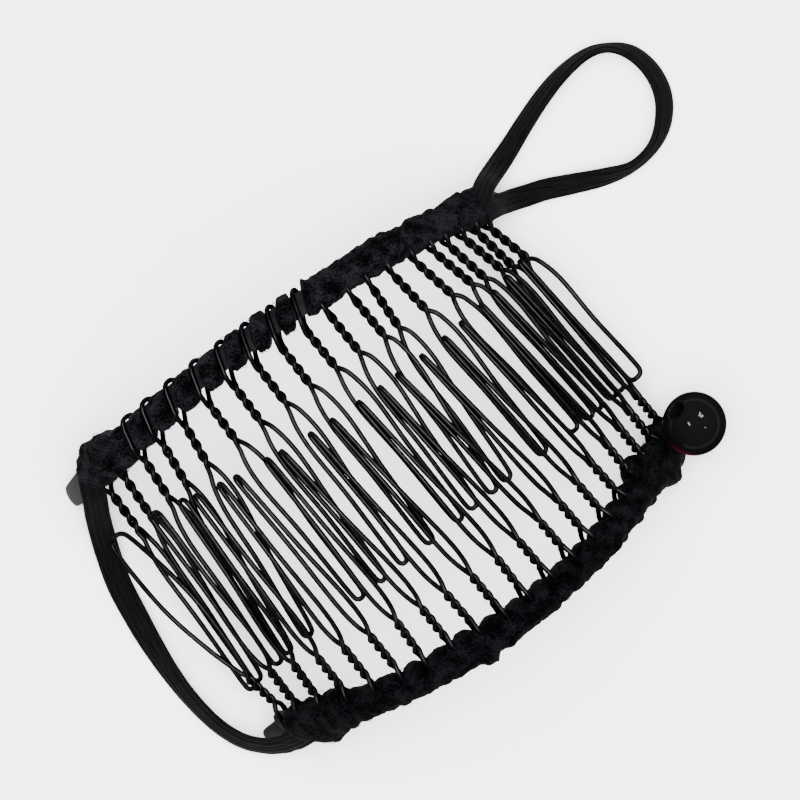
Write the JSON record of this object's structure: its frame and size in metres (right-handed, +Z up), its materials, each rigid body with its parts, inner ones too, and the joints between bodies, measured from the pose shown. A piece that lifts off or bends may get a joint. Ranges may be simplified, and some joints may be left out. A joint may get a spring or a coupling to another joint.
{
  "type": "banana hair clip",
  "caption": "Hair clip of arched wire combs with overlapping teeth, joined at one end by a flat elastic, with an elastic loop that hooks over a bead at the other.",
  "frame": {"origin": "middle of the combs and bead in plan, at the surface that the clip lies on", "axes": "+X along the combs, towards the bead and the free loop; +Y across the teeth, from the lower comb to the upper comb; +Z up, out of the arch"},
  "size_m": [0.1027, 0.0634, 0.0301],
  "materials": {
    "wire": "satin black coated wire",
    "strip": "dark grey coated flat strip",
    "yarn": "black fuzzy yarn",
    "elastic": "black braided flat elastic",
    "bead": "glossy black with a dark red translucent rim"
  },
  "bodies": {
    "root": {"upper_strip": "strip", "lower_strip": "strip", "upper_wrap": "yarn", "lower_wrap": "yarn", "upper_left_knot": "yarn", "lower_left_knot": "yarn", "lower_right_knot": "yarn", "bead": "bead", "bead_cord": "elastic", "elastic_loop": "elastic", "elastic_link": "elastic", "upper_tooth_01": "wire", "upper_tooth_02": "wire", "upper_tooth_03": "wire", "upper_tooth_04": "wire", "upper_tooth_05": "wire", "upper_tooth_06": "wire", "upper_tooth_07": "wire", "upper_tooth_08": "wire", "upper_tooth_09": "wire", "upper_tooth_10": "wire", "upper_tooth_11": "wire", "upper_tooth_12": "wire", "upper_tooth_13": "wire", "upper_tooth_14": "wire", "upper_tooth_15": "wire", "upper_tooth_16": "wire", "upper_tooth_17": "wire", "upper_tooth_18": "wire", "upper_tooth_19": "wire", "upper_tooth_20": "wire", "lower_tooth_01": "wire", "lower_tooth_02": "wire", "lower_tooth_03": "wire", "lower_tooth_04": "wire", "lower_tooth_05": "wire", "lower_tooth_06": "wire", "lower_tooth_07": "wire", "lower_tooth_08": "wire", "lower_tooth_09": "wire", "lower_tooth_10": "wire", "lower_tooth_11": "wire", "lower_tooth_12": "wire", "lower_tooth_13": "wire", "lower_tooth_14": "wire", "lower_tooth_15": "wire", "lower_tooth_16": "wire", "lower_tooth_17": "wire", "lower_tooth_18": "wire", "lower_tooth_19": "wire", "lower_tooth_20": "wire"}
  },
  "joints": []
}
